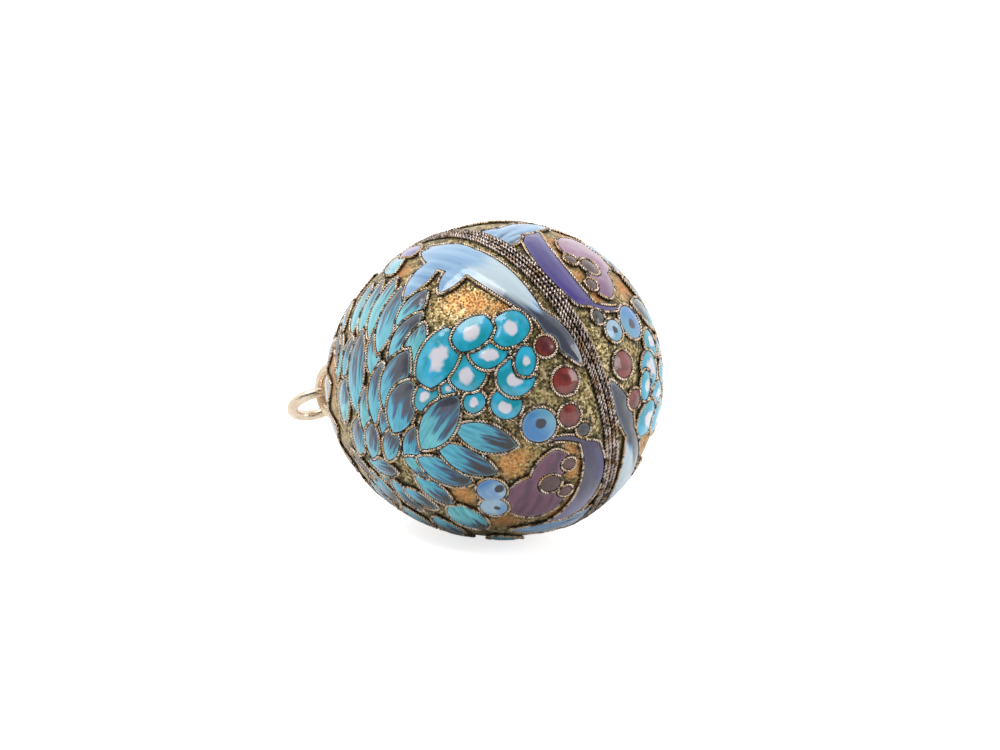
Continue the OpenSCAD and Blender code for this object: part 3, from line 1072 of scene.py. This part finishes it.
# %% Gilt ground
def ground_net(net, shader):
    place = net.place()
    normal, dark_reflection, glint = net.group(STIPPLE, 7.5)
    soot_and_shade, = net.group(TARNISH_AND_SHADE, net.number("wire"), 0.3)
    shade, = net.group(TARNISH_AND_SHADE, net.number("wire"), 0.8)
    tone = net.noise(place, 1.1, 3.0)
    gilt = net.mix(net.smooth(tone, 0.35, 0.65), rgb(148, 132, 88), rgb(192, 168, 118))
    patchy = net.smooth(net.noise(place, 2.0, 3.0), 0.25, 0.5)
    warm = net.times(net.number("warm"), patchy)
    gilt = net.mix(warm, gilt, rgb(208, 146, 88))
    # The olive band beside the wires is painted shade with tarnish, weaker on warm gilding.
    shade = net.times(shade, net.smooth(warm, 0.0, 0.8, 0.65, 0.15))
    gilt = net.mix(shade, gilt, rgb(100, 96, 66))
    calm = net.smooth(warm, 0.0, 0.8, 1.0, 0.3)
    # Painted glints and painted dark reflections of the stipple, calmer on warm gilding.
    gilt = net.mix(net.times(glint, calm, 0.6), gilt, rgb(228, 212, 168))
    gilt = net.mix(net.times(dark_reflection, calm, 0.75), gilt, rgb(62, 52, 36))
    colour = net.mix(net.times(soot_and_shade, 0.92), gilt, rgb(34, 28, 24))
    net.put(shader.inputs["Base Color"], colour)
    net.put(shader.inputs["Metallic"], net.math("SUBTRACT", 1.0, net.times(soot_and_shade, 0.6)))
    net.put(shader.inputs["Roughness"], net.smooth(tone, 0.2, 0.8, 0.38, 0.56))
    net.put(shader.inputs["Normal"], normal)


gilt_ground = finish_material("stippled_gilt", ground_net)


# %% Twisted wires
# The two grooves are half a turn apart, the first this share of the way round the section
GROOVE_START = 1 / 6


def wire_net(bright, warm, dark):
    """The finish of a twisted wire: bright crests, and painted shade with oxide in the grooves
    between its two strands.
    """
    def wire_up(net, shader):
        place = net.place()
        _, around, _ = net.split(net.add("UVMap", uv_map="UVMap").outputs[0])
        turn = net.times(net.math("SUBTRACT", around, GROOVE_START), 4 * math.pi)
        groove_shade = net.smooth(net.math("COSINE", turn), 0.1, 0.95)
        tone = net.noise(place, 1.9, 3.0)
        metal = net.mix(net.smooth(tone, 0.42, 0.66), bright, warm)
        worn = net.smooth(net.noise(place, 5.0, 2.0), 0.35, 0.62)
        gaps = net.smooth(net.noise(place, 2.7, 2.0), 0.54, 0.6)
        # The grooves are painted shade with oxide, lighter where the wire is worn; random dark gaps
        # join them.
        shade = net.times(groove_shade, net.smooth(worn, 0.0, 1.0, 0.98, 0.6))
        shade = net.math("MAXIMUM", shade, net.times(gaps, 0.85))
        net.put(shader.inputs["Base Color"], net.mix(shade, metal, dark))
        net.put(shader.inputs["Roughness"], net.smooth(worn, 0.0, 1.0, 0.42, 0.26))
        net.put(shader.inputs["Normal"], net.bump(net.noise(place, 14.0, 2.0), 0.01 * MM))
        shader.inputs["Metallic"].default_value = 1.0
    return wire_up


wire_gilt = finish_material(
    "twisted_gilt_wire",
    wire_net(bright=rgb(232, 212, 192), warm=rgb(204, 170, 122), dark=rgb(42, 33, 27)))
rope_gilt = finish_material(
    "seam_rope_gilt",
    wire_net(bright=rgb(208, 192, 184), warm=rgb(160, 130, 100), dark=rgb(40, 32, 29)))


# %% Worn pale gilt of the eye and rings
def pale_net(net, shader):
    place = net.place()
    tone = net.noise(place, 0.8, 3.0)
    scratches = net.smooth(net.noise(place, 12.0, 3.0), 0.5, 0.75)
    colour = net.mix(net.smooth(tone, 0.3, 0.7), rgb(214, 192, 166), rgb(232, 216, 196))
    colour = net.mix(net.times(scratches, 0.35), colour, rgb(150, 122, 92))
    net.put(shader.inputs["Base Color"], colour)
    net.put(shader.inputs["Roughness"], net.smooth(scratches, 0.0, 1.0, 0.22, 0.4))
    net.put(shader.inputs["Normal"], net.bump(scratches, -0.01 * MM, 0.7))
    shader.inputs["Metallic"].default_value = 1.0


pale_gilt = finish_material("worn_pale_gilt", pale_net)
for half in "ab":
    for piece, material in ((grounds[half], gilt_ground), (cloisons[half], wire_gilt),
                            (seam_ropes[half], rope_gilt)):
        piece.data.materials.append(material)
for node in ("eye", "jump_ring_inner", "jump_ring_outer"):
    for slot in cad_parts[node].material_slots:
        slot.material = pale_gilt

# %% [markdown]
# ## Floor, light and camera
# The light is that of a light tent: white below, behind and all round, so glossy enamel turns
# pale at its edge and no hard shadow falls. A white world does the same. A tent is open where
# the lens looks in, so the world is dim there: what faces that way reflects little, and the
# dark enamels stay dark. A soft lamp from above and one from the side give the egg its shape.

# %% Floor
FLOOR_GLOW = 0.75
FLOOR_SIZE = 1.5


def plain_net(net, shader):
    shader.inputs["Base Color"].default_value = rgb(246, 246, 246)
    shader.inputs["Roughness"].default_value = 0.9
    shader.inputs["Emission Color"].default_value = (1, 1, 1, 1)
    seen = net.add("LightPath").outputs["Is Camera Ray"]
    net.put(shader.inputs["Emission Strength"], net.times(seen, FLOOR_GLOW))


floor_mesh = bpy.data.meshes.new("floor")
bm = bmesh.new()
bmesh.ops.create_grid(bm, x_segments=1, y_segments=1, size=FLOOR_SIZE)
bm.to_mesh(floor_mesh)
bm.free()
floor = bpy.data.objects.new("floor", floor_mesh)
floor.location.z = cad_box[0].z
bpy.context.scene.collection.objects.link(floor)
floor_mesh.materials.append(finish_material("plain_white", plain_net))

# %% World and lamps
CAMERA_TURN = math.radians(54.18)
CAMERA_RISE = math.radians(11.72)
CAMERA_LEAN = math.radians(1.19)
BACK = Vector((math.sin(CAMERA_TURN) * math.cos(CAMERA_RISE),
               -math.cos(CAMERA_TURN) * math.cos(CAMERA_RISE), math.sin(CAMERA_RISE)))
RIGHT = Vector((math.cos(CAMERA_TURN), math.sin(CAMERA_TURN), 0))
RIGHT = Matrix.Rotation(CAMERA_LEAN, 3, BACK) @ RIGHT
UP = BACK.cross(RIGHT)

# How bright the tent looks, how much it lights the egg, and how much its opening does
TENT = 0.84
TENT_LIGHT = 1.25
OPENING = 0.1
# Cosines from the way to the lens: where the tent starts to dim, and where it is open
DIM_FROM = 0.0
OPEN_FROM = 0.8
world = bpy.data.worlds.new("light tent")
bpy.context.scene.world = world
world.use_nodes = True
net = Net(world.node_tree)
front = net.add("VectorMath", operation="DOT_PRODUCT")
net.put(front.inputs[0], net.add("TexCoord").outputs["Generated"])
net.put(front.inputs[1], BACK)
light = net.smooth(front.outputs["Value"], DIM_FROM, OPEN_FROM, TENT_LIGHT, OPENING)
seen = net.add("LightPath").outputs["Is Camera Ray"]
strength = net.add("Mix")
for name, value in (("Factor", seen), ("A", light), ("B", TENT)):
    net.put(strength.inputs[name], value)
background = world.node_tree.nodes["Background"]
net.put(background.inputs["Strength"], strength.outputs["Result"])
net.put(background.inputs["Color"], (1, 1, 1, 1))


def soft_lamp(name, way, distance, size, power):
    """A square soft lamp that looks at the egg from one way, with its sizes in mm."""
    light = bpy.data.lights.new(name, "AREA")
    light.size = size * MM
    light.energy = power
    lamp = bpy.data.objects.new(name, light)
    way = way.normalized()
    lamp.location = REST + way * distance * MM
    lamp.rotation_euler = way.to_track_quat("Z", "Y").to_euler()
    bpy.context.scene.collection.objects.link(lamp)


soft_lamp("key", UP - RIGHT * 0.5 + BACK * 0.6, distance=160, size=90, power=0.14)
soft_lamp("fill", RIGHT + UP * 0.25 + BACK * 0.4, distance=180, size=80, power=0.08)

# %% Camera
CAMERA_AWAY = 270
camera_data = bpy.data.cameras.new("camera")
camera_data.lens = 169.0
camera_data.sensor_width = 36.0
camera_data.shift_x = -0.0038
camera_data.shift_y = 0.0051
camera_data.clip_start = 0.01
camera = bpy.data.objects.new("camera", camera_data)
turned = Matrix((RIGHT, UP, BACK)).transposed().to_4x4()
camera.matrix_world = Matrix.Translation(REST + BACK * CAMERA_AWAY * MM) @ turned
bpy.context.scene.collection.objects.link(camera)
bpy.context.scene.camera = camera
bpy.context.scene.view_settings.view_transform = "Standard"

# %% Print the CAD box and finish
print("CAD box", [tuple(round(x / MM, 2) for x in c) for c in cad_box])
